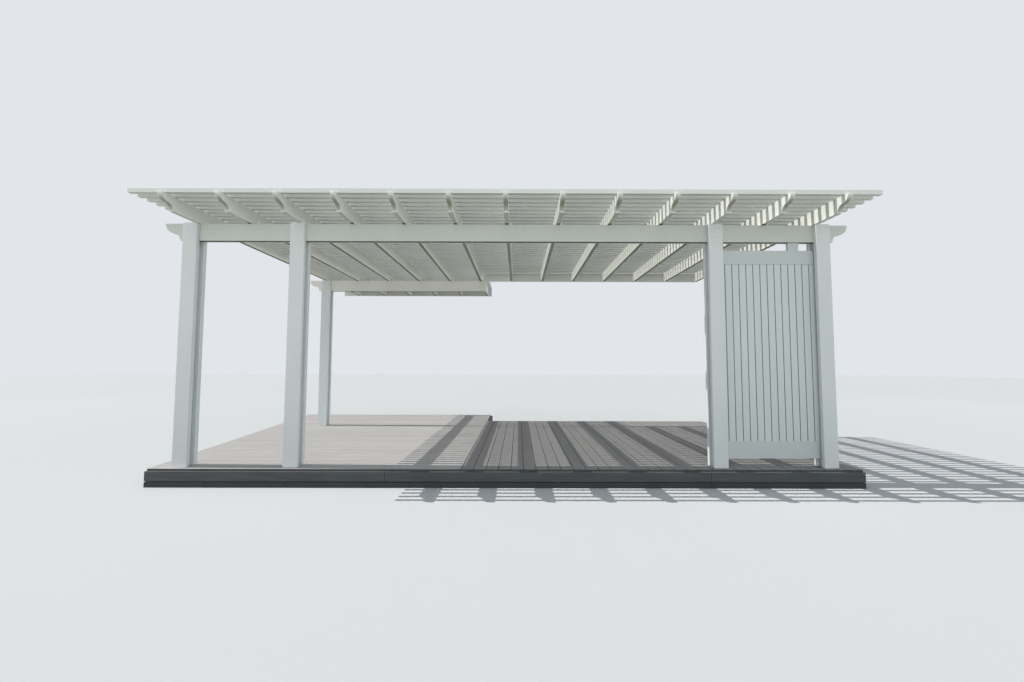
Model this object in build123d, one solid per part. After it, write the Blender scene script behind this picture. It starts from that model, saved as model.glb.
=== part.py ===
from build123d import *
import math
import os

# A lattice-roofed pergola on a low timber deck, deeper in its left part than in its right one.
# Each part ends in a ledger at the back.
# Lengths are in millimetres. X runs to the right, Y to the back and Z up.
# The origin is level with the deck's bottom, at the middle of the roof's width and of its
# right part's depth.

# Rafters, laid front to back on the two beams
rafter_count = 13
rafter_pitch = 609.6
rafter_width = 50.8
rafter_height = 165.1
rafter_tail = 165.0
rafter_cove_height = 78.0
front_overhang = 566.0

# Channel in a rafter's underside, from just before the front beam to its rear end
channel_wall = 5.0
channel_depth = 9.0
channel_lead = 50.0

# Beams, on edge between the side plates of the posts
beam_span = 3400.0
left_span = 5200.0
beam_width = 76.2
beam_height = 203.2
beam_tail = 178.0
beam_cove_height = 93.0
beam_overhang = 243.0
ledger_width = 50.8
rear_joint_x = -505.0

# Slot along a beam's underside, between its two lips
slot_lip = 12.7
slot_depth = 12.0
slot_end = 30.0

# Posts, each a square core between two side plates
core_width = 76.2
plate_width = 165.1
plate_thickness = 50.8
clear_height = 2635.0
outer_post_offset = 64.0
inner_post_rafters = 4
inner_post_offset = 22.0

# Lattice slats, as many as fit across the rafters, and shorter ones over the deeper left part
slat_size = 50.8
slat_pitch = 120.65
slat_setback = 45.0
slat_overhang = 381.0
lattice_groups = ("front", "middle", "rear")

# Privacy screen in the right bay
top_rail_height = 165.1
bottom_rail_height = 198.0
rail_thickness = 38.0
screen_gap = 98.0
board_count = 14
board_pitch = 83.3
board_thickness = 25.4
groove_width = 9.0
groove_depth = 8.0
hanger_width = 127.0
hanger_inset = 166.0

# Deck, with boards along X left of its girder and along Y right of it
deck_height = 200.0
deck_surface_thickness = 24.0
surface_gap = 5.0
deck_side_margin = 225.0
deck_front_margin = 55.0
deck_right_reach = 720.0
deck_flare = 0.15
fascia_thickness = 38.0
fascia_height = 110.0
fascia_lip = 36.0
fascia_gap = 7.0
joist_width = 38.0
joist_height = 140.0
left_joist_count = 10
left_joist_pitch = 426.0
right_joist_count = 11
girder_width = 76.0
bearer_width = 89.0
left_bearer_count = 6
right_bearer_count = 5

# Levels worked out from the sizes above
beam_bottom = deck_height + clear_height
beam_top = beam_bottom + beam_height
rafter_top = beam_top + rafter_height
frame_top = deck_height - deck_surface_thickness

# Places along Y
roof_depth = front_overhang + beam_span + beam_width + plate_thickness
tip_y = -roof_depth / 2
front_beam_y = tip_y + front_overhang
rear_beam_y = front_beam_y + beam_span
ledger_back_y = rear_beam_y + ledger_width
left_ledger_y = front_beam_y + left_span
left_back_y = left_ledger_y + ledger_width
right_back_y = rear_beam_y + deck_right_reach
front_line_y = front_beam_y + beam_width / 2
rear_line_y = rear_beam_y + beam_width / 2

# Places along X
outer_rafter_x = rafter_pitch * (rafter_count - 1) / 2
outer_post_x = outer_rafter_x + outer_post_offset
inner_post_x = inner_post_rafters * rafter_pitch + inner_post_offset
beam_half_length = outer_post_x + plate_width / 2 + beam_overhang
rear_beam_start_x = -outer_rafter_x - plate_width / 2 - beam_overhang
ledger_end_x = outer_rafter_x + rafter_width / 2
slat_length = 2 * (outer_rafter_x + slat_overhang)
deck_half_width = outer_post_x + plate_width / 2 + deck_side_margin
deck_front_y = front_beam_y - plate_thickness - deck_front_margin


def block(x_range, y_range, z_range):
    """A box between the given limits along each axis."""
    size = [high - low for low, high in (x_range, y_range, z_range)]
    corner = Pos(x_range[0], y_range[0], z_range[0])
    return corner * Box(*size, align=(Align.MIN, Align.MIN, Align.MIN))


def around(middle, size):
    """Limits of a stretch of the given size about its middle."""
    return (middle - size / 2, middle + size / 2)


def spread(low, high, count):
    """Evenly spaced values from low to high."""
    return [low + (high - low) * i / (count - 1) for i in range(count)]


def ogee_face(length, height, tail, cove_height, both_ends):
    """Side of a member on edge: its first end, or both, has a round nose over a hollow cove."""
    half = tail / 2
    nose_height = height - cove_height
    outline = [
        EllipticalCenterArc((half, 0), half, cove_height, 0, arc_size=90),
        EllipticalCenterArc((half, height), half, nose_height, 180, arc_size=90),
        Line((0, height), (length, height)),
    ]
    if both_ends:
        outline += [
            EllipticalCenterArc((length - half, height), half, nose_height, 270, arc_size=90),
            EllipticalCenterArc((length - half, 0), half, cove_height, 90, arc_size=90),
            Line((length - tail, 0), (tail, 0)),
        ]
    else:
        outline += [
            Line((length, height), (length, 0)),
            Line((length, 0), (tail, 0)),
        ]
    return make_face(Curve() + outline)


def member_along_x(start_x, length, y_range, bottom, height, tail, cove_height, both_ends):
    """A beam whose ogee end is at start_x."""
    side = Plane((start_x, y_range[1], bottom), x_dir=(1, 0, 0), z_dir=(0, -1, 0))
    face = ogee_face(length, height, tail, cove_height, both_ends)
    return extrude(side * face, amount=y_range[1] - y_range[0])


def underside_slot(x_range, y_range):
    """The open slot along the underside of a beam that stands between the Y limits."""
    slot_y = (y_range[0] + slot_lip, y_range[1] - slot_lip)
    return block(x_range, slot_y, (beam_bottom, beam_bottom + slot_depth))


def make_front_beam():
    beam_y = (front_beam_y, front_beam_y + beam_width)
    slot_x = (-beam_half_length + beam_tail + slot_end, beam_half_length - beam_tail - slot_end)
    beam = member_along_x(
        -beam_half_length,
        2 * beam_half_length,
        beam_y,
        beam_bottom,
        beam_height,
        beam_tail,
        beam_cove_height,
        True,
    )
    return beam - underside_slot(slot_x, beam_y)


def make_rear_beam():
    beam_y = (rear_beam_y, rear_beam_y + beam_width)
    slot_x = (rear_beam_start_x + beam_tail + slot_end, rear_joint_x - slot_end)
    beam = member_along_x(
        rear_beam_start_x,
        rear_joint_x - rear_beam_start_x,
        beam_y,
        beam_bottom,
        beam_height,
        beam_tail,
        beam_cove_height,
        False,
    )
    return beam - underside_slot(slot_x, beam_y)


def make_right_ledger():
    return block((rear_joint_x, ledger_end_x), (rear_beam_y, ledger_back_y), (beam_top, rafter_top))


def make_left_ledger():
    ledger_x = (-slat_length / 2, rear_joint_x)
    return block(ledger_x, (left_ledger_y, left_back_y), (beam_top, rafter_top))


def make_rafter(x):
    """A rafter from its front tip to the ledger of its part of the roof."""
    in_left_part = x + rafter_width / 2 < rear_joint_x
    end_y = left_ledger_y if in_left_part else rear_beam_y
    side = Plane((x - rafter_width / 2, tip_y, beam_top), x_dir=(0, 1, 0), z_dir=(1, 0, 0))
    face = ogee_face(end_y - tip_y, rafter_height, rafter_tail, rafter_cove_height, False)
    rafter = extrude(side * face, amount=rafter_width)
    channel_x = around(x, rafter_width - 2 * channel_wall)
    channel_y = (front_beam_y - channel_lead, end_y)
    return rafter - block(channel_x, channel_y, (beam_top, beam_top + channel_depth))


def make_post(name, x, line_y):
    """A core that carries the beam, as deep as the beam is wide, and the two side plates."""
    inside = around(line_y, beam_width)
    plate_x = around(x, plate_width)
    plate_z = (deck_height, beam_top)
    return {
        f"{name}_core": block(around(x, core_width), inside, (deck_height, beam_bottom)),
        f"{name}_front_plate": block(plate_x, (inside[0] - plate_thickness, inside[0]), plate_z),
        f"{name}_rear_plate": block(plate_x, (inside[1], inside[1] + plate_thickness), plate_z),
    }


def make_lattice():
    """The slats, shared out between the groups from front to rear."""
    first_y = tip_y + slat_setback
    count, left_count = (
        int((back_y - first_y - slat_size) // slat_pitch) + 1 for back_y in (ledger_back_y, left_back_y)
    )
    slat_x = around(0, slat_length)
    left_slat_x = (slat_x[0], rear_joint_x)
    slat_z = (rafter_top, rafter_top + slat_size)
    slats = []
    for i in range(max(count, left_count)):
        front_y = first_y + i * slat_pitch
        reach_x = slat_x if i < count else left_slat_x
        slats.append(block(reach_x, (front_y, front_y + slat_size), slat_z))
    share = -(-count // len(lattice_groups))
    groups = {
        f"lattice_{group}": Compound(children=slats[i * share : (i + 1) * share])
        for i, group in enumerate(lattice_groups)
    }
    groups["lattice_left"] = Compound(children=slats[count:])
    return groups


def make_screen():
    """Rails between the cores of two posts, grooved boards between the rails, and a hanger."""
    rail_x = (inner_post_x + core_width / 2, outer_post_x - core_width / 2)
    rail_y = around(front_line_y, rail_thickness)
    top_rail_z = (beam_bottom - screen_gap - top_rail_height, beam_bottom - screen_gap)
    bottom_rail_z = (deck_height + screen_gap, deck_height + screen_gap + bottom_rail_height)

    middle_x = (rail_x[0] + rail_x[1]) / 2
    panel_x = around(middle_x, board_count * board_pitch)
    panel_y = around(front_line_y, board_thickness)
    panel_z = (bottom_rail_z[1], top_rail_z[0])
    boards = block(panel_x, panel_y, panel_z)
    panel_height = panel_z[1] - panel_z[0]
    cutter_face = Polygon(
        (-groove_width / 2, 0), (groove_width / 2, 0), (0, groove_depth), align=None
    )
    front_groove = extrude(cutter_face, amount=panel_height)
    back_groove = mirror(front_groove, about=Plane.XZ)
    for i in range(1, board_count):
        x = panel_x[0] + i * board_pitch
        boards -= Pos(x, panel_y[0], panel_z[0]) * front_groove
        boards -= Pos(x, panel_y[1], panel_z[0]) * back_groove

    hanger_end_x = outer_post_x - plate_width / 2 - hanger_inset
    hanger_x = (hanger_end_x - hanger_width, hanger_end_x)
    return {
        "screen_top_rail": block(rail_x, rail_y, top_rail_z),
        "screen_bottom_rail": block(rail_x, rail_y, bottom_rail_z),
        "screen_boards": boards,
        "screen_hanger": block(hanger_x, rail_y, (top_rail_z[1], beam_bottom)),
    }


def left_edge_x(y, inset):
    """X of the deck's flared left edge, or of a line so far inside it."""
    return -deck_half_width - deck_flare * (y - deck_front_y) + inset * math.hypot(1, deck_flare)


def left_piece(right_x, y_range, z_range, inset):
    """A solid from the deck's left edge, or a line inside it, to right_x."""
    low_y, high_y = y_range
    corners = [
        (left_edge_x(low_y, inset), low_y),
        (right_x, low_y),
        (right_x, high_y),
        (left_edge_x(high_y, inset), high_y),
    ]
    face = make_face(Polyline(*corners, close=True))
    return Pos(0, 0, z_range[0]) * extrude(face, amount=z_range[1] - z_range[0], dir=(0, 0, 1))


def make_deck():
    """Surface in two parts, fascia in two courses, rims, and the frame on each side of the girder."""
    right_x = deck_half_width
    surface_z = (frame_top, deck_height)
    surface = [
        left_piece(rear_joint_x - surface_gap, (deck_front_y, left_back_y), surface_z, 0),
        block((rear_joint_x, right_x), (deck_front_y, right_back_y), surface_z),
    ]
    fascia_x = (-deck_half_width, right_x)
    fascia_y = (deck_front_y - fascia_lip, deck_front_y - fascia_lip + fascia_thickness)
    upper_z = (frame_top - fascia_height, frame_top)
    lower_z = (0, upper_z[0] - fascia_gap)
    fascia = [block(fascia_x, fascia_y, upper_z), block(fascia_x, fascia_y, lower_z)]

    left_y = (fascia_y[1], left_back_y - fascia_thickness)
    right_y = (fascia_y[1], right_back_y - fascia_thickness)
    frame_end_x = right_x - fascia_thickness
    girder_x = around(rear_joint_x, girder_width)
    full_z = (0, frame_top)
    joist_z = (frame_top - joist_height, frame_top)
    bearer_z = (0, joist_z[0])

    half_joist = joist_width / 2
    left_room = left_piece(girder_x[0], left_y, full_z, fascia_thickness)
    joists = []
    for i in range(left_joist_count):
        x = girder_x[0] - half_joist - i * left_joist_pitch
        joists += (block(around(x, joist_width), left_y, joist_z) & left_room).solids()
    joist_ys = spread(right_y[0] + half_joist, right_y[1] - half_joist, right_joist_count)
    joists += [block((girder_x[1], frame_end_x), around(y, joist_width), joist_z) for y in joist_ys]

    half_bearer = bearer_width / 2
    bearer_ys = spread(left_y[0] + half_bearer, left_y[1] - half_bearer, left_bearer_count)
    bearer_xs = spread(0, frame_end_x - half_bearer, right_bearer_count)
    bearers = []
    for y in bearer_ys:
        bearers.append(left_piece(girder_x[0], around(y, bearer_width), bearer_z, fascia_thickness))
    bearers += [block(around(x, bearer_width), right_y, bearer_z) for x in bearer_xs]

    left_rim = left_piece(girder_x[0], left_y, full_z, 0) - left_room
    side_rims = [*left_rim.solids(), block((frame_end_x, right_x), right_y, full_z)]
    rear_rims = [
        left_piece(girder_x[1], (left_y[1], left_back_y), full_z, 0),
        block((girder_x[1], right_x), (right_y[1], right_back_y), full_z),
    ]
    return {
        "deck_surface": Compound(children=surface),
        "deck_fascia": Compound(children=fascia),
        "deck_side_rims": Compound(children=side_rims),
        "deck_rear_rims": Compound(children=rear_rims),
        "deck_girder": block(girder_x, left_y, full_z),
        "deck_joists": Compound(children=joists),
        "deck_bearers": Compound(children=bearers),
    }


nodes = {
    "front_beam": make_front_beam(),
    "rear_beam": make_rear_beam(),
    "right_ledger": make_right_ledger(),
    "left_ledger": make_left_ledger(),
}
for index in range(rafter_count):
    rafter_x = index * rafter_pitch - outer_rafter_x
    nodes[f"rafter_{index + 1:02d}"] = make_rafter(rafter_x)
front_post_xs = (-outer_post_x, -inner_post_x, inner_post_x, outer_post_x)
for index, post_x in enumerate(front_post_xs):
    nodes.update(make_post(f"post_{index + 1}", post_x, front_line_y))
nodes.update(make_post("rear_post", -outer_rafter_x, rear_line_y))
nodes.update(make_lattice())
nodes.update(make_screen())
nodes.update(make_deck())

os.makedirs("parts", exist_ok=True)
for node_name, shape in nodes.items():
    export_step(shape, f"parts/{node_name}.step")
    print(node_name, "solids", len(shape.solids()), "volume", round(shape.volume))
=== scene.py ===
import math
import random

import bpy
from mathutils import Matrix, Vector


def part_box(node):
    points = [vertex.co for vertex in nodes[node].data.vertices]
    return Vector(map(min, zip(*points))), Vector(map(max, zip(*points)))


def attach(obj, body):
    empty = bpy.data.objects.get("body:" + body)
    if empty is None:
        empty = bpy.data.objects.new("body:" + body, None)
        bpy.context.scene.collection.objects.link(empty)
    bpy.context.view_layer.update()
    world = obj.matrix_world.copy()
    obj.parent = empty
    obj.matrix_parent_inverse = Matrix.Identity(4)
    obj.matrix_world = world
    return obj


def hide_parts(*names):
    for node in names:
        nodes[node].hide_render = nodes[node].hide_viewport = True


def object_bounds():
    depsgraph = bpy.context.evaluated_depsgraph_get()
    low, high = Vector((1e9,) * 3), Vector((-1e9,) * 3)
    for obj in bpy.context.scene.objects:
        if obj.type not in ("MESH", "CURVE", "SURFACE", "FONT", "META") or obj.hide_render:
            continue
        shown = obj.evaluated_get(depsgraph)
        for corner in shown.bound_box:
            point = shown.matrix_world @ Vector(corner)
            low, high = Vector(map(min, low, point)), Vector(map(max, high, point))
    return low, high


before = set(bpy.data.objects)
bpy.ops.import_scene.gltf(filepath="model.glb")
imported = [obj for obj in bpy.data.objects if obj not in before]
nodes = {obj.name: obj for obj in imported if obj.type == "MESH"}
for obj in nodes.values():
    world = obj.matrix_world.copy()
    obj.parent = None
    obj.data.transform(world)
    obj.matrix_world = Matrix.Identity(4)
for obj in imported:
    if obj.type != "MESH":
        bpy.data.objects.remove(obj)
cad_low, cad_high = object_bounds()

# Camera, found by fitting the roof and posts to the photograph: metres, radians and pixels.
# Its place is counted from the middle of the front beam's upper front edge.
photo_width = 1024
focal_pixels = 426.3
centre_shift_pixels = 7.2
camera_right = 0.1395
camera_back = 4.979
camera_below = 1.6785
camera_pitch = 0.0586
camera_yaw = 0.0020
camera_roll = 0.0023
sensor_width = 36.0

# Light
sun_elevation = math.radians(47.5)
sun_behind = math.radians(1.4)
sun_strength = 3.3
sun_angle = math.radians(0.2)
sun_color = (1.0, 0.97, 0.92)

# Sky, which is brighter towards the front and, low down, towards the sides
sky_strength = 0.10
sky_front_boost = 0.86
sky_left_boost = 0.55
sky_right_boost = 0.9
sky_color = (0.88, 0.94, 1.0)
backdrop_color = (0.76, 0.79, 0.83)

# Floor, which looks pale but sends back less light, and least from close in front
floor_color = (0.62, 0.64, 0.66)
floor_roughness = 0.95
floor_half_size = 60.0
near_bounce_color = (0.12, 0.125, 0.096)
far_bounce_color = (0.44, 0.455, 0.40)
dim_reach = 3.5
bounce_blend = 0.5

# Low soft lamps far off, each with its place, the way it shines and its power
fill_lamps = {
    "front_fill": ((-6.0, -23.0, 1.0), (0.0, 1.0, 0.09), 80.0),
    "right_fill": ((21.0, 1.0, 1.0), (-1.0, 0.0, 0.09), 90.0),
    "left_fill": ((-21.0, 1.0, 1.0), (1.0, 0.0, 0.09), 60.0),
}
fill_length = 22.0
fill_height = 1.2
fill_spread = math.radians(50)
fill_color = (0.98, 1.0, 0.94)

# White paints: one white, in copies set lighter or darker per part to paint in the light and shade
# each part gets.
# The beam's and rail's copies are darkest (painted shade); the rear beam's is lighter (painted
# light).
beam_white_painted_shade = (0.615, 0.64, 0.615)
rear_beam_white_painted_light = (0.79, 0.79, 0.75)
rafter_white = (0.80, 0.815, 0.775)
slat_white = (0.77, 0.785, 0.755)
# Faces that look down take this darker copy: painted shade
underside_painted_shade = (0.64, 0.65, 0.615)
post_white = (0.70, 0.73, 0.745)
rail_white_painted_shade = (0.57, 0.615, 0.62)
screen_white = (0.66, 0.70, 0.71)
speck_color = (0.62, 0.60, 0.54)
dusty_share = 0.93
paint_roughness = (0.38, 0.52)

# Timber, each with a colour and a darker one for its grain
fascia_colors = ((0.100, 0.108, 0.112), (0.054, 0.060, 0.063))
# Sides and ends of the deck boards: darker unweathered stain, darkened further as painted shade
board_edge_stain_and_shade_colors = ((0.085, 0.088, 0.091), (0.050, 0.052, 0.055))
joist_colors = ((0.42, 0.34, 0.24), (0.26, 0.20, 0.13))
bearer_colors = ((0.40, 0.32, 0.23), (0.25, 0.19, 0.13))
pale_share = 1.25
# Darker towards the foot: the colour's share at the darkest, and the heights over which it fades
# out
foot_share = 0.4
foot_darkening = 0.9
foot_dark_bottom = 0.045
foot_dark_top = 0.085
timber_roughness = 0.82

# Bleached tops of the deck boards: dark grain, light grain, paler patches and some boards' grey
deck_colors = ((0.36, 0.355, 0.36), (0.55, 0.535, 0.52), (0.58, 0.56, 0.54), (0.42, 0.415, 0.42))
left_deck_shade = 0.96
# The boards right of the seam, under the roof, are made darker: painted shade
right_deck_painted_shade = 0.57
deck_roughness = 0.75

# Deck screws, partly tarnished
steel_colors = ((0.30, 0.29, 0.28), (0.20, 0.19, 0.18))
steel_metallic = 0.8
steel_roughness = 0.5

# Upward part of a face's direction, past which it counts as a top or an underside
looks_up = 0.5
looks_down = -0.7

# Widths of rounded edges
member_edge = 0.003
rafter_edge = 0.0025
post_edge = 0.005
panel_edge = 0.001
fitting_edge = 0.0008
sharp_angle = math.radians(40)
weld_distance = 1e-5

# A hollow's rim this thin keeps its own colour, a gap this small keeps pieces apart,
# and a screw's or bolt's head sinks in this far
skin = 0.0005
hairline = 0.0001
head_sink = 0.0002

# Corners of an upright prism, bottom ones first, and its six faces
prism_corners = 8
prism_quads = ((3, 2, 1, 0), (4, 5, 6, 7), (0, 1, 5, 4), (1, 2, 6, 5), (2, 3, 7, 6), (3, 0, 4, 7))

# A domed head's rings, each with its share of the radius and of the height
head_rings = ((1.0, 0.0), (0.92, 0.6), (0.6, 0.95))

# Deck boards: along X left of the seam in the surface, along Y right of it
board_pitch = 0.1397
board_gap = 0.0045
board_seed = 5
board_unevenness = 0.0008
board_end_play = 0.002
board_tones = (0.0, 0.55)
surface_seam_gap = 0.005
butt_gap = 0.003
butt_joints = {0: (0.73,), 1: (0.73, 2.63), 2: (2.63,)}
joist_width = 0.038
left_joist_count = 10
left_joist_pitch = 0.426
right_joist_count = 11
deck_flare = 0.15
right_boards_reach = 0.72
screw_inset = 0.022
deck_screw_radius = 0.0045
deck_screw_height = 0.0006

# Fascia boards
fascia_joints = {"upper": (-1.35, 2.30), "lower": (-2.45, 1.20)}
fascia_joint_gap = 0.002
fascia_thickness = 0.038
fascia_heights = (0.110, 0.059)

# Roof
rafter_count = 13
rafter_pitch = 0.6096
rafter_width = 0.0508
lattice_groups = {"front": 11, "middle": 11, "rear": 11, "left": 15}
slat_cap_thickness = 0.002
slat_cap_inset = 0.0006
slat_screw_radius = 0.006
slat_screw_height = 0.0014
bracket_thickness = 0.002
clip_leg = 0.040
clip_height = 0.110
hanger_reach = 0.060
hanger_height = 0.110

# Painted shade: dark colour inside the slots under the beams and the channels under the rafters,
# and on the lower part of the rafters' front ends
hollow_shade_color = (0.24, 0.24, 0.21)
slot_lip = 0.0125
slot_depth = 0.013
channel_half_width = 0.022
channel_depth_up = 0.010
channel_lead = 0.051
# Painted shade on the lower part of the rafters' scalloped front ends, weaker at the foot and
# fading out upward
tail_shade_color = (0.36, 0.36, 0.30)
tail_length = 0.164
tail_foot_share = 0.6
tail_foot_height = 0.055
tail_fade_height = 0.095
tail_shade_height = 0.152

# Bolts through the posts' side plates
posts = ("post_1", "post_2", "post_3", "post_4", "rear_post")
bolt_offset = 0.042
bolt_drops = (0.045, 0.155)
bolt_radius = 0.011
bolt_height = 0.005
bolt_sides = 14

# Screen
screen_board_count = 14
groove_half_width = 0.0050
# Painted shade in the grooves between the boards
groove_shade_color = (0.25, 0.28, 0.29)
edge_channel_lip = 0.010
edge_channel_depth = 0.034
edge_channel_lap = 0.0005
edge_channel_play = 0.0003


def new_material(name):
    """A node material, with its tree and its shader."""
    material = bpy.data.materials.new(name)
    material.use_nodes = True
    tree = material.node_tree
    shader = tree.nodes["Principled BSDF"]
    return material, tree, shader


def connect(tree, value, socket):
    """Links a socket, or sets a number or colour."""
    if isinstance(value, bpy.types.NodeSocket):
        tree.links.new(value, socket)
    elif socket.type == "RGBA" and len(value) == 3:
        socket.default_value = (*value, 1.0)
    else:
        socket.default_value = value


def add_node(tree, kind, inputs=None, **settings):
    """A node of the kind, with its settings and the values or links of its inputs."""
    node = tree.nodes.new(kind)
    for key, value in settings.items():
        setattr(node, key, value)
    for key, value in (inputs or {}).items():
        connect(tree, value, node.inputs[key])
    return node


def calculate(tree, operation, *values):
    inputs = dict(enumerate(values))
    return add_node(tree, "ShaderNodeMath", inputs, operation=operation).outputs[0]


def object_coordinates(tree):
    return add_node(tree, "ShaderNodeTexCoord").outputs["Object"]


def along_axis(tree, axis, across, along):
    """Object coordinates in which a pattern is stretched along one axis."""
    scale = [across] * 3
    scale["XYZ".index(axis)] = along
    inputs = {"Vector": object_coordinates(tree), "Scale": scale}
    return add_node(tree, "ShaderNodeMapping", inputs).outputs["Vector"]


def noise(tree, vector, detail=4.0, roughness=0.5):
    inputs = {"Vector": vector, "Scale": 1.0, "Detail": detail, "Roughness": roughness}
    return add_node(tree, "ShaderNodeTexNoise", inputs).outputs["Fac"]


def ramp(tree, factor, low, high, low_value=0.0, high_value=1.0):
    """Maps low..high of the factor to the two values, held at both ends."""
    inputs = {
        "Value": factor,
        "From Min": low,
        "From Max": high,
        "To Min": low_value,
        "To Max": high_value,
    }
    return add_node(tree, "ShaderNodeMapRange", inputs).outputs["Result"]


def mix_color(tree, factor, first, second):
    inputs = {0: factor, 6: first, 7: second}
    return add_node(tree, "ShaderNodeMix", inputs, data_type="RGBA").outputs[2]


def bump(tree, height, strength, distance):
    inputs = {"Height": height, "Strength": strength, "Distance": distance}
    return add_node(tree, "ShaderNodeBump", inputs).outputs["Normal"]


def between(tree, value, low, high):
    """One where the value lies between the limits, else zero."""
    above = calculate(tree, "GREATER_THAN", value, low)
    below = calculate(tree, "LESS_THAN", value, high)
    return calculate(tree, "MULTIPLY", above, below)


def separate_axes(tree, vector):
    """The three parts of a vector, by the names X, Y and Z."""
    return add_node(tree, "ShaderNodeSeparateXYZ", {"Vector": vector}).outputs


def beam_slot_shade(tree):
    """One inside the slots along the undersides of the two beams, where shade is painted."""
    axes = separate_axes(tree, object_coordinates(tree))
    inside = 0.0
    for name in ("front_beam", "rear_beam"):
        low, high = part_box(name)
        across = between(tree, axes["Y"], low.y + slot_lip, high.y - slot_lip)
        upward = between(tree, axes["Z"], low.z + skin, low.z + slot_depth)
        part = calculate(tree, "MULTIPLY", across, upward)
        inside = calculate(tree, "ADD", inside, part)
    return inside


def within_rafter(tree, axes):
    """One between the two side walls of a rafter."""
    from_middle = calculate(tree, "PINGPONG", axes["X"], rafter_pitch / 2)
    return calculate(tree, "LESS_THAN", from_middle, channel_half_width)


def rafter_channel_shade(tree):
    """One inside the channels in the undersides of the rafters, where shade is painted."""
    axes = separate_axes(tree, object_coordinates(tree))
    within = within_rafter(tree, axes)
    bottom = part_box("rafter_01")[0].z
    upward = between(tree, axes["Z"], bottom + skin, bottom + channel_depth_up)
    channel_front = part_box("front_beam")[0].y - channel_lead
    behind = calculate(tree, "GREATER_THAN", axes["Y"], channel_front)
    column = calculate(tree, "MULTIPLY", within, upward)
    return calculate(tree, "MULTIPLY", column, behind)


def underside(tree):
    """One on faces that look down, where shade is painted."""
    facing = add_node(tree, "ShaderNodeNewGeometry").outputs["True Normal"]
    return calculate(tree, "LESS_THAN", separate_axes(tree, facing)["Z"], looks_down)


def tail_shade(tree):
    """Up to one on the lower part of the rafters' scalloped front ends, where shade is painted."""
    axes = separate_axes(tree, object_coordinates(tree))
    within = within_rafter(tree, axes)
    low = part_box("rafter_01")[0]
    before = calculate(tree, "LESS_THAN", axes["Y"], low.y + tail_length)
    foot_span = (low.z + skin, low.z + tail_foot_height)
    above_foot = ramp(tree, axes["Z"], *foot_span, tail_foot_share, 1.0)
    fade = (low.z + tail_fade_height, low.z + tail_shade_height)
    below_top = ramp(tree, axes["Z"], *fade, 1.0, 0.0)
    upward = calculate(tree, "MULTIPLY", above_foot, below_top)
    column = calculate(tree, "MULTIPLY", within, upward)
    return calculate(tree, "MULTIPLY", column, before)


def screen_grooves(tree):
    """One inside the grooves between the screen's boards, where shade is painted."""
    low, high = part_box("screen_boards")
    pitch = (high.x - low.x) / screen_board_count
    across = separate_axes(tree, object_coordinates(tree))["X"]
    place = calculate(tree, "SUBTRACT", across, low.x + pitch / 2)
    from_middle = calculate(tree, "PINGPONG", place, pitch / 2)
    return calculate(tree, "GREATER_THAN", from_middle, pitch / 2 - groove_half_width)


def white_paint(name, axis, color, *layers):
    """Satin white paint over sheet embossed with a grain along the axis.

    Each layer is a mask and the colour that it lays over what is under it; in this script every
    layer is painted shade.
    """
    material, tree, shader = new_material(name)
    fine = along_axis(tree, axis, across=90.0, along=3.0)
    grain = noise(tree, fine, detail=5.0, roughness=0.6)
    patches = noise(tree, along_axis(tree, axis, across=2.2, along=0.7), detail=3.0)
    specks = noise(tree, along_axis(tree, axis, across=40.0, along=18.0), detail=2.0)
    dusty = [value * dusty_share for value in color]
    clean = mix_color(tree, ramp(tree, patches, 0.35, 0.75), color, dusty)
    painted = mix_color(tree, ramp(tree, specks, 0.64, 0.82, 0.0, 0.2), clean, speck_color)
    for mask, layer_color in layers:
        painted = mix_color(tree, mask(tree), painted, layer_color)
    connect(tree, painted, shader.inputs["Base Color"])
    connect(tree, ramp(tree, patches, 0.3, 0.8, *paint_roughness), shader.inputs["Roughness"])
    connect(tree, bump(tree, grain, strength=0.35, distance=0.0006), shader.inputs["Normal"])
    return material


def timber(name, axis, colors, darkened_foot=False):
    """Weathered or rough timber with its grain along the axis, or also darker towards its foot."""
    material, tree, shader = new_material(name)
    fine = along_axis(tree, axis, across=55.0, along=2.5)
    grain = noise(tree, fine, detail=8.0, roughness=0.65)
    patches = noise(tree, along_axis(tree, axis, across=5.0, along=0.9), detail=4.0)
    color, dark = colors
    streaks = mix_color(tree, ramp(tree, grain, 0.35, 0.7), dark, color)
    pale = [value * pale_share for value in color]
    faded = mix_color(tree, ramp(tree, patches, 0.3, 0.75, 0.0, 0.4), streaks, pale)
    if darkened_foot:
        height = separate_axes(tree, object_coordinates(tree))["Z"]
        foot_color = [value * foot_share for value in color]
        foot_fade = ramp(tree, height, foot_dark_bottom, foot_dark_top, foot_darkening, 0.0)
        faded = mix_color(tree, foot_fade, faded, foot_color)
    connect(tree, faded, shader.inputs["Base Color"])
    connect(tree, timber_roughness, shader.inputs["Roughness"])
    connect(tree, bump(tree, grain, strength=0.6, distance=0.0012), shader.inputs["Normal"])
    return material


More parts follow.
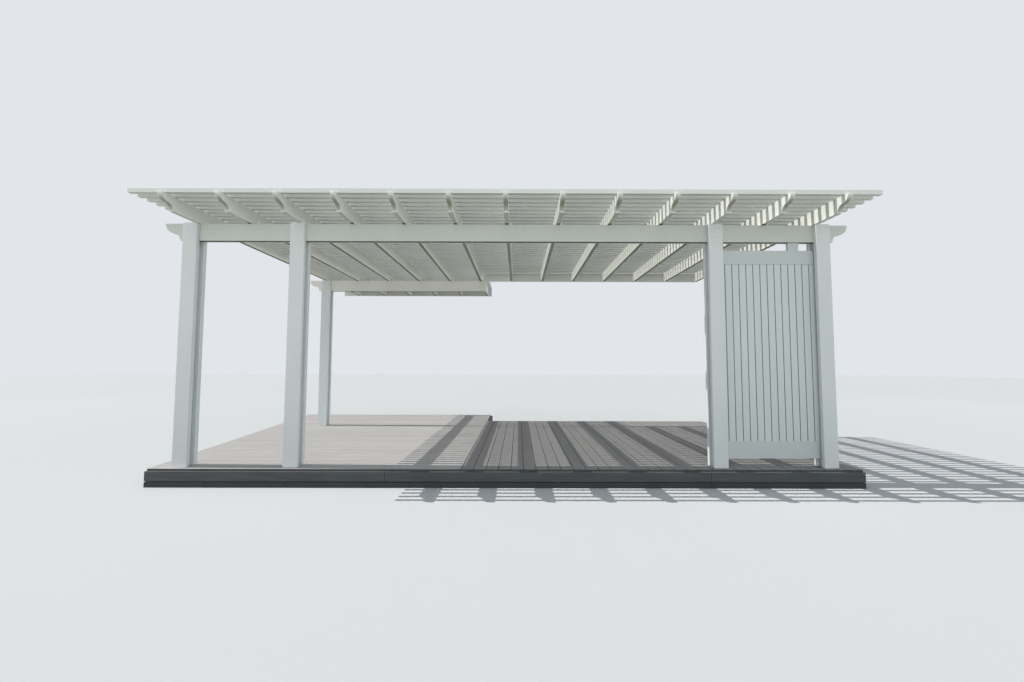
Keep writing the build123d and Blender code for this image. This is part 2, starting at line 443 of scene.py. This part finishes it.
def deck_stain(axis, shade):
    """Bleached grey stain on the tops of the deck boards, each board of its own tone, scaled by
    shade, which darkens the right boards as painted shade.
    """
    material, tree, shader = new_material(f"deck_stain_{axis.lower()}")
    tone = add_node(tree, "ShaderNodeAttribute", attribute_name="tone").outputs["Fac"]
    fine = along_axis(tree, axis, across=85.0, along=2.2)
    grain = noise(tree, fine, detail=8.0, roughness=0.7)
    patches = noise(tree, along_axis(tree, axis, across=6.0, along=1.1), detail=5.0)
    dark, light, bleached, grey = [[value * shade for value in color] for color in deck_colors]
    streaks = mix_color(tree, ramp(tree, grain, 0.3, 0.72), dark, light)
    faded = mix_color(tree, ramp(tree, patches, 0.35, 0.75, 0.0, 0.5), streaks, bleached)
    toned = mix_color(tree, tone, faded, grey)
    connect(tree, toned, shader.inputs["Base Color"])
    connect(tree, deck_roughness, shader.inputs["Roughness"])
    connect(tree, bump(tree, grain, strength=0.5, distance=0.001), shader.inputs["Normal"])
    return material


def screw_steel():
    material, tree, shader = new_material("deck_screw_steel")
    specks = noise(tree, along_axis(tree, "Z", across=300.0, along=300.0), detail=3.0)
    color = mix_color(tree, ramp(tree, specks, 0.4, 0.7), *steel_colors)
    connect(tree, color, shader.inputs["Base Color"])
    connect(tree, steel_metallic, shader.inputs["Metallic"])
    connect(tree, steel_roughness, shader.inputs["Roughness"])
    return material


def mesh_object(name, vertices, faces, materials):
    mesh = bpy.data.meshes.new(name)
    mesh.from_pydata(vertices, [], faces)
    for material in materials:
        mesh.materials.append(material)
    piece = bpy.data.objects.new(name, mesh)
    bpy.context.scene.collection.objects.link(piece)
    return piece


def add_piece(name, vertices, faces, materials):
    """A new piece that rides on the part's one body."""
    piece = mesh_object(name, vertices, faces, materials)
    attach(piece, "root")
    return piece


def prism_mesh(prisms):
    """Vertices and faces of upright prisms, each of four corners, a bottom and a top."""
    vertices, faces = [], []
    for corners, bottom, top in prisms:
        start = len(vertices)
        vertices += [(x, y, z) for z in (bottom, top) for x, y in corners]
        faces += [tuple(start + corner for corner in quad) for quad in prism_quads]
    return vertices, faces


def rectangle(left, right, front, back):
    return ((left, front), (right, front), (right, back), (left, back))


def box_mesh(boxes):
    """Vertices and faces of the boxes, each a low and a high corner."""
    return prism_mesh([(rectangle(a[0], b[0], a[1], b[1]), a[2], b[2]) for a, b in boxes])


def round_edges(piece, width, segments=2):
    weld = piece.modifiers.new("weld", "WELD")
    weld.merge_threshold = weld_distance
    rounding = piece.modifiers.new("round", "BEVEL")
    rounding.width = width
    rounding.segments = segments
    rounding.limit_method = "ANGLE"
    rounding.angle_limit = sharp_angle


def head_mesh(centres, radius, height, sides=10, facing=(0, 0, 1)):
    """Low domed heads that face one way, with their flat undersides at the centres."""
    turned = Vector(facing).to_track_quat("Z", "Y")
    vertices, faces = [], []
    for centre in centres:
        start = len(vertices)
        for share, rise in head_rings:
            for i in range(sides):
                turn = 2 * math.pi * i / sides
                reach = radius * share
                point = Vector((reach * math.cos(turn), reach * math.sin(turn), height * rise))
                vertices.append(Vector(centre) + turned @ point)
        vertices.append(Vector(centre) + turned @ Vector((0, 0, height)))
        top = len(vertices) - 1
        for ring in range(len(head_rings) - 1):
            low = start + ring * sides
            for i in range(sides):
                j = (i + 1) % sides
                faces.append((low + i, low + j, low + sides + j, low + sides + i))
        last = start + (len(head_rings) - 1) * sides
        faces += [(last + i, last + (i + 1) % sides, top) for i in range(sides)]
        faces.append(tuple(start + i for i in reversed(range(sides))))
    return vertices, faces


def spread(low, high, count):
    """Evenly spaced values from low to high."""
    return [low + (high - low) * i / (count - 1) for i in range(count)]


def cut_run(low, high, joints, gap):
    """The stretches that the joints leave between low and high, a gap apart."""
    places = [low, *(joint for joint in sorted(joints) if low < joint < high), high]
    stretches = []
    for i in range(len(places) - 1):
        start = places[i] + (gap / 2 if i else 0.0)
        end = places[i + 1] - (gap / 2 if i < len(places) - 2 else 0.0)
        stretches.append((start, end))
    return stretches


def finish_boards(name, prisms, tones, axis, shade, edge_stain_and_shade):
    """Joined boards with bleached tops and dark edges: unweathered stain, darkened further as
    painted shade.
    """
    vertices, faces = prism_mesh(prisms)
    boards = add_piece(name, vertices, faces, [deck_stain(axis, shade), edge_stain_and_shade])
    for polygon in boards.data.polygons:
        polygon.material_index = 0 if polygon.normal.z > looks_up else 1
    tone = boards.data.attributes.new("tone", "FLOAT", "POINT")
    tone.data.foreach_set("value", [value for value in tones for _ in range(prism_corners)])
    round_edges(boards, member_edge)
    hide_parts("deck_surface")


def make_left_boards(chance, seam_x, edge_stain_and_shade):
    """Boards along X from the seam to the flared left edge; gives back their screws' places."""
    low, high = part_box("deck_surface")
    girder_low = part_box("deck_girder")[0]
    first_x = girder_low.x - joist_width / 2
    joist_xs = [first_x - i * left_joist_pitch for i in range(left_joist_count)]
    depth = high.y - low.y
    front_x = low.x + deck_flare * depth
    prisms, tones, screws = [], [], []
    for i in range(math.ceil(depth / board_pitch)):
        front = low.y + i * board_pitch
        back = min(front + board_pitch - board_gap, high.y)
        top = high.z - chance.uniform(0.0, board_unevenness)
        ends = [front_x - deck_flare * (y - low.y) for y in (front, back)]
        right = seam_x - surface_seam_gap
        corners = ((ends[0], front), (right, front), (right, back), (ends[1], back))
        prisms.append((corners, low.z, top))
        tones.append(chance.uniform(*board_tones))
        for x in joist_xs:
            if x > ends[0] + screw_inset:
                screws += [(x, y, top) for y in (front + screw_inset, back - screw_inset)]
    finish_boards("deck_boards_left", prisms, tones, "X", left_deck_shade, edge_stain_and_shade)
    return screws


def make_right_boards(chance, seam_x, edge_stain_and_shade):
    """Boards along Y, right of the seam; gives back their screws' places."""
    low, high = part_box("deck_surface")
    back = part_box("rear_beam")[0].y + right_boards_reach
    beam_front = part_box("front_beam")[0].y
    joist_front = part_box("deck_joists")[0].y + joist_width / 2
    joist_back = back - fascia_thickness - joist_width / 2
    joist_ys = spread(joist_front, joist_back, right_joist_count)
    count = round((high.x - seam_x) / board_pitch)
    pitch = (high.x - seam_x + board_gap) / count
    prisms, tones, screws = [], [], []
    for i in range(count):
        left = seam_x + i * pitch
        right = left + pitch - board_gap
        top = high.z - chance.uniform(0.0, board_unevenness)
        front = low.y + chance.uniform(0.0, board_end_play)
        joints = [beam_front + joint for joint in butt_joints.get(i, ())]
        for start, end in cut_run(front, back, joints, butt_gap):
            prisms.append((rectangle(left, right, start, end), low.z, top))
            tones.append(chance.uniform(*board_tones))
        screw_xs = (left + screw_inset, right - screw_inset)
        screws += [(x, y, top) for y in joist_ys for x in screw_xs]
    finish_boards("deck_boards_right", prisms, tones, "Y", right_deck_painted_shade, edge_stain_and_shade)
    return screws


def make_deck_boards(edge_stain_and_shade):
    """The deck's boards in their two directions, and the screws that hold them to the joists."""
    girder_low, girder_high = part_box("deck_girder")
    seam_x = (girder_low.x + girder_high.x) / 2
    chance = random.Random(board_seed)
    screws = make_left_boards(chance, seam_x, edge_stain_and_shade)
    screws += make_right_boards(chance, seam_x, edge_stain_and_shade)
    centres = [(x, y, z - head_sink) for x, y, z in screws]
    vertices, faces = head_mesh(centres, deck_screw_radius, deck_screw_height)
    add_piece("deck_screws", vertices, faces, [screw_steel()])


def make_fascia(stain):
    """The fascia's two courses as boards that butt end to end."""
    low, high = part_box("deck_fascia")
    levels = {
        "upper": (high.z - fascia_heights[0], high.z),
        "lower": (low.z, low.z + fascia_heights[1]),
    }
    boxes = []
    for course, (bottom, top) in levels.items():
        for start, end in cut_run(low.x, high.x, fascia_joints[course], fascia_joint_gap):
            boxes.append(((start, low.y, bottom), (end, high.y, top)))
    vertices, faces = box_mesh(boxes)
    fascia = add_piece("fascia_boards", vertices, faces, [stain])
    round_edges(fascia, member_edge)
    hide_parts("deck_fascia")


def rafter_middles():
    """Where the rafters' middles stand along X, from left to right."""
    return [(i - (rafter_count - 1) / 2) * rafter_pitch for i in range(rafter_count)]


def make_slat_details(paint):
    """Caps on the ends of the slats, and a screw through each slat into each rafter."""
    boxes, centres = [], []
    for group, slat_count in lattice_groups.items():
        low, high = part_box(f"lattice_{group}")
        size = high.z - low.z
        for front in spread(low.y, high.y - size, slat_count):
            near = (front + slat_cap_inset, low.z + slat_cap_inset)
            far = (front + size - slat_cap_inset, high.z - slat_cap_inset)
            for left in (low.x - slat_cap_thickness, high.x):
                boxes.append(((left, *near), (left + slat_cap_thickness, *far)))
            crossed = [x for x in rafter_middles() if x < high.x]
            centres += [(x, front + size / 2, high.z - head_sink) for x in crossed]
    vertices, faces = box_mesh(boxes)
    caps = add_piece("slat_caps", vertices, faces, [paint])
    round_edges(caps, fitting_edge)
    vertices, faces = head_mesh(centres, slat_screw_radius, slat_screw_height)
    add_piece("slat_screws", vertices, faces, [paint])


def make_plate_bolts(paint):
    """Bolt heads on the outer faces of the posts' side plates, level with the beams."""
    vertices, faces = [], []
    for post in posts:
        for side, facing in (("front", (0, -1, 0)), ("rear", (0, 1, 0))):
            low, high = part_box(f"{post}_{side}_plate")
            face_y = low.y if side == "front" else high.y
            middle_x = (low.x + high.x) / 2
            xs = (middle_x - bolt_offset, middle_x + bolt_offset)
            y = face_y - head_sink * facing[1]
            centres = [(x, y, high.z - drop) for x in xs for drop in bolt_drops]
            heads = head_mesh(centres, bolt_radius, bolt_height, bolt_sides, facing)
            faces += [tuple(len(vertices) + corner for corner in face) for face in heads[1]]
            vertices += heads[0]
    add_piece("plate_bolts", vertices, faces, [paint])


def make_roof_brackets(paint):
    """Angle clips where rafters cross the beams, and hangers where they meet the ledgers."""
    half = rafter_width / 2
    metal = bracket_thickness
    front_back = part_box("front_beam")[1].y
    rear_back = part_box("rear_beam")[1].y
    rear_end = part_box("rear_beam")[1].x
    boxes = []
    for i, x in enumerate(rafter_middles()):
        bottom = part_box(f"rafter_{i + 1:02d}")[0].z
        side = x + half + hairline
        for back in (front_back, rear_back) if x < rear_end else (front_back,):
            low_z, high_z = bottom - clip_height / 2, bottom + clip_height / 2
            boxes.append(((side, back + hairline, low_z), (side + clip_leg, back + metal, high_z)))
            boxes.append(((side, back + metal, bottom), (side + metal, back + clip_leg, high_z)))
        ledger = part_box("left_ledger" if x < rear_end else "right_ledger")[0].y - hairline
        start = ledger - hanger_reach
        seat, hanger_top = bottom - metal, bottom + hanger_height
        for left in (x - half - hairline - metal, side):
            boxes.append(((left, start, seat), (left + metal, ledger, hanger_top)))
        boxes.append(((x - half, start, seat), (x + half, ledger, bottom - hairline)))
    vertices, faces = box_mesh(boxes)
    add_piece("roof_brackets", vertices, faces, [paint])


def make_screen_channels(paint):
    """U-shaped channels that hold the side edges of the screen's boards to the post cores."""
    boards_low, boards_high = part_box("screen_boards")
    left_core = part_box("post_3_core")[1].x
    right_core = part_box("post_4_core")[0].x
    middle_y = (boards_low.y + boards_high.y) / 2
    near, far = middle_y - edge_channel_depth / 2, middle_y + edge_channel_depth / 2
    front_flange = (near, boards_low.y - edge_channel_play)
    back_flange = (boards_high.y + edge_channel_play, far)
    boxes = []
    for core, edge, inward in ((left_core, boards_low.x, 1), (right_core, boards_high.x, -1)):
        web = sorted((core, edge - edge_channel_lap * inward))
        boxes.append(((web[0], near, boards_low.z), (web[1], far, boards_high.z)))
        flange = sorted((edge - edge_channel_lap * inward, edge + edge_channel_lip * inward))
        for start, end in (front_flange, back_flange):
            boxes.append(((flange[0], start, boards_low.z), (flange[1], end, boards_high.z)))
    vertices, faces = box_mesh(boxes)
    channels = add_piece("screen_channels", vertices, faces, [paint])
    round_edges(channels, fitting_edge)


def finish_nodes():
    """Each solid's rounded edges and its own finish, by the first key that starts its name."""
    # Per-part copies of one white: the beam's darker (painted shade), the rear beam's lighter
    # (painted light)
    beam = white_paint("beam_paint_painted_shade", "X", beam_white_painted_shade, (beam_slot_shade, hollow_shade_color))
    rear = white_paint("rear_paint_painted_light", "X", rear_beam_white_painted_light, (beam_slot_shade, hollow_shade_color))
    rafter_layers = (
        (underside, underside_painted_shade),
        (tail_shade, tail_shade_color),
        (rafter_channel_shade, hollow_shade_color),
    )
    rafter = white_paint("rafter_paint", "Y", rafter_white, *rafter_layers)
    slat = white_paint("slat_paint", "X", slat_white, (underside, underside_painted_shade))
    post = white_paint("post_paint", "Z", post_white)
    rail = white_paint("rail_paint_painted_shade", "X", rail_white_painted_shade)
    board = white_paint("screen_paint", "Z", screen_white, (screen_grooves, groove_shade_color))
    fascia = timber("fascia_stain", "X", fascia_colors, darkened_foot=True)
    rim = timber("rim_stain", "Y", fascia_colors, darkened_foot=True)
    joist = timber("frame_timber_x", "X", joist_colors)
    bearer = timber("frame_timber_y", "Y", bearer_colors)
    finishes = {
        "front_beam": (beam, member_edge),
        "rear_beam": (rear, member_edge),
        "right_ledger": (slat, member_edge),
        # The left ledger takes the beam's darker copy: painted shade
        "left_ledger": (beam, member_edge),
        "rafter": (rafter, rafter_edge),
        "post": (post, post_edge),
        "rear_post": (post, post_edge),
        "lattice": (slat, rafter_edge),
        "screen_boards": (board, panel_edge),
        "screen": (rail, member_edge),
        "deck_rear_rims": (fascia, member_edge),
        "deck_side_rims": (rim, member_edge),
        "deck_joists": (joist, member_edge),
        "deck_bearers": (bearer, member_edge),
        "deck_girder": (rim, member_edge),
    }
    for name, node in nodes.items():
        key = next((key for key in finishes if name.startswith(key)), None)
        if key is None:
            continue
        finish, edge = finishes[key]
        node.data.materials.clear()
        node.data.materials.append(finish)
        round_edges(node, edge)
    return {"slat": slat, "rail": rail, "fascia": fascia, "post": post, "rafter": rafter}


def seen_directly(tree):
    """One for rays from the camera and in reflections or glass, else zero."""
    path = add_node(tree, "ShaderNodeLightPath").outputs
    mirrored = calculate(tree, "MAXIMUM", path["Is Glossy Ray"], path["Is Transmission Ray"])
    return calculate(tree, "MAXIMUM", path["Is Camera Ray"], mirrored)


def floor_bounce(tree):
    """What the floor sends back: little from close in front, more from elsewhere."""
    axes = separate_axes(tree, object_coordinates(tree))
    before = ramp(tree, axes["Y"], cad_low.y - dim_reach, cad_low.y - bounce_blend, 1.0, 0.0)
    leftward = ramp(tree, axes["X"], cad_low.x - bounce_blend, cad_low.x, 1.0, 0.0)
    rightward = ramp(tree, axes["X"], cad_high.x, cad_high.x + bounce_blend)
    sideward = calculate(tree, "MAXIMUM", leftward, rightward)
    away = calculate(tree, "MAXIMUM", before, sideward)
    return mix_color(tree, away, near_bounce_color, far_bounce_color)


def make_stage():
    """A pale floor that sends back only a little light."""
    material, tree, shader = new_material("floor")
    color = mix_color(tree, seen_directly(tree), floor_bounce(tree), floor_color)
    connect(tree, color, shader.inputs["Base Color"])
    connect(tree, floor_roughness, shader.inputs["Roughness"])
    size = floor_half_size
    corners = [(-size, -size, 0.0), (size, -size, 0.0), (size, size, 0.0), (-size, size, 0.0)]
    mesh_object("floor", corners, [(0, 1, 2, 3)], [material])


def make_world():
    """Soft sky light, strongest low in front and at the sides, behind a plain backdrop."""
    world = bpy.data.worlds.new("studio")
    bpy.context.scene.world = world
    world.use_nodes = True
    tree = world.node_tree
    tree.nodes.clear()
    axes = separate_axes(tree, add_node(tree, "ShaderNodeTexCoord").outputs["Generated"])
    frontward = calculate(tree, "MAXIMUM", calculate(tree, "MULTIPLY", axes["Y"], -1.0), 0.0)
    front_boost = calculate(tree, "MULTIPLY", frontward, sky_front_boost)
    right_boost = calculate(tree, "MULTIPLY", axes["X"], sky_right_boost)
    left_boost = calculate(tree, "MULTIPLY", axes["X"], -sky_left_boost)
    side_boost = calculate(tree, "MAXIMUM", right_boost, left_boost)
    lowness = calculate(tree, "SUBTRACT", 1.0, calculate(tree, "ABSOLUTE", axes["Z"]))
    low_side_boost = calculate(tree, "MULTIPLY", side_boost, lowness)
    boost = calculate(tree, "ADD", front_boost, low_side_boost)
    strength = calculate(tree, "ADD", boost, sky_strength)
    sky = add_node(tree, "ShaderNodeBackground", {"Color": sky_color, "Strength": strength})
    backdrop = add_node(tree, "ShaderNodeBackground", {"Color": backdrop_color, "Strength": 1.0})
    inputs = {0: seen_directly(tree), 1: sky.outputs[0], 2: backdrop.outputs[0]}
    mixed = add_node(tree, "ShaderNodeMixShader", inputs)
    add_node(tree, "ShaderNodeOutputWorld", {"Surface": mixed.outputs[0]})


def make_sun():
    """Sun from the left, almost along the slats and a little from behind."""
    lamp = bpy.data.lights.new("sun", "SUN")
    lamp.energy = sun_strength
    lamp.angle = sun_angle
    lamp.color = sun_color
    sun = bpy.data.objects.new("sun", lamp)
    bpy.context.scene.collection.objects.link(sun)
    level = math.cos(sun_elevation)
    along_x, along_y = level * math.cos(sun_behind), -level * math.sin(sun_behind)
    shines = Vector((along_x, along_y, -math.sin(sun_elevation)))
    sun.rotation_mode = "QUATERNION"
    sun.rotation_quaternion = shines.to_track_quat("-Z", "Y")


def make_fills():
    """Light from low in front and at the sides, for what faces there under the roof."""
    for name, (place, shines, power) in fill_lamps.items():
        lamp = bpy.data.lights.new(name, "AREA")
        lamp.shape = "RECTANGLE"
        lamp.size = fill_length
        lamp.size_y = fill_height
        lamp.spread = fill_spread
        lamp.energy = power
        lamp.color = fill_color
        fill = bpy.data.objects.new(name, lamp)
        bpy.context.scene.collection.objects.link(fill)
        fill.location = place
        fill.rotation_mode = "QUATERNION"
        fill.rotation_quaternion = Vector(shines).to_track_quat("-Z", "Y")
        fill.visible_camera = False


def make_camera():
    camera_data = bpy.data.cameras.new("camera")
    camera_data.sensor_width = sensor_width
    camera_data.lens = focal_pixels / photo_width * sensor_width
    camera_data.shift_x = -centre_shift_pixels / photo_width
    camera = bpy.data.objects.new("camera", camera_data)
    bpy.context.scene.collection.objects.link(camera)
    level = math.cos(camera_pitch)
    across, ahead = math.sin(camera_yaw), math.cos(camera_yaw)
    forward = Vector((across * level, ahead * level, math.sin(camera_pitch)))
    level_right = Vector((ahead, -across, 0.0))
    level_up = level_right.cross(forward)
    right = level_right * math.cos(camera_roll) + level_up * math.sin(camera_roll)
    up = level_up * math.cos(camera_roll) - level_right * math.sin(camera_roll)
    turn = Matrix((right, up, -forward)).transposed()
    beam_low, beam_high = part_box("front_beam")
    place = Vector((camera_right, beam_low.y - camera_back, beam_high.z - camera_below))
    camera.matrix_world = Matrix.Translation(place) @ turn.to_4x4()
    bpy.context.scene.camera = camera


edge_stain_and_shade = timber("board_edge_stain_and_shade", "X", board_edge_stain_and_shade_colors)
paints = finish_nodes()
make_deck_boards(edge_stain_and_shade)
make_fascia(paints["fascia"])
make_slat_details(paints["slat"])
make_plate_bolts(paints["post"])
make_roof_brackets(paints["rafter"])
make_screen_channels(paints["rail"])
make_stage()
make_world()
make_sun()
make_fills()
make_camera()
bpy.context.scene.view_settings.view_transform = "Standard"
